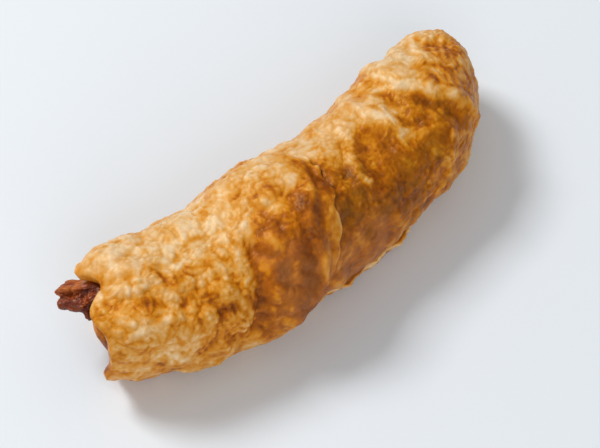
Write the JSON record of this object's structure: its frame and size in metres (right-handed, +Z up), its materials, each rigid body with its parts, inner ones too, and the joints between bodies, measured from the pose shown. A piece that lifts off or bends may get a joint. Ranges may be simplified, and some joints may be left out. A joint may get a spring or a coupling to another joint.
{
  "type": "bean curd skin roll",
  "caption": "Fried bean curd skin roll lying on its flat underside: a blistered wrap with an overlapping flap, closed at one end, dark folded filling showing at the other.",
  "frame": {"origin": "on the surface the roll lies on, under the middle of its bounding box", "axes": "+X along the roll towards its closed end, -X towards its open end, -Y its front side, +Z up"},
  "size_m": [0.1048, 0.038, 0.0294],
  "materials": {
    "fried_skin": "blistered, oily, cream to golden brown",
    "filling_folds": "glossy, dark red-brown, folded"
  },
  "bodies": {
    "root": {"bean_curd_skin": "fried_skin", "filling": "filling_folds"}
  },
  "joints": []
}
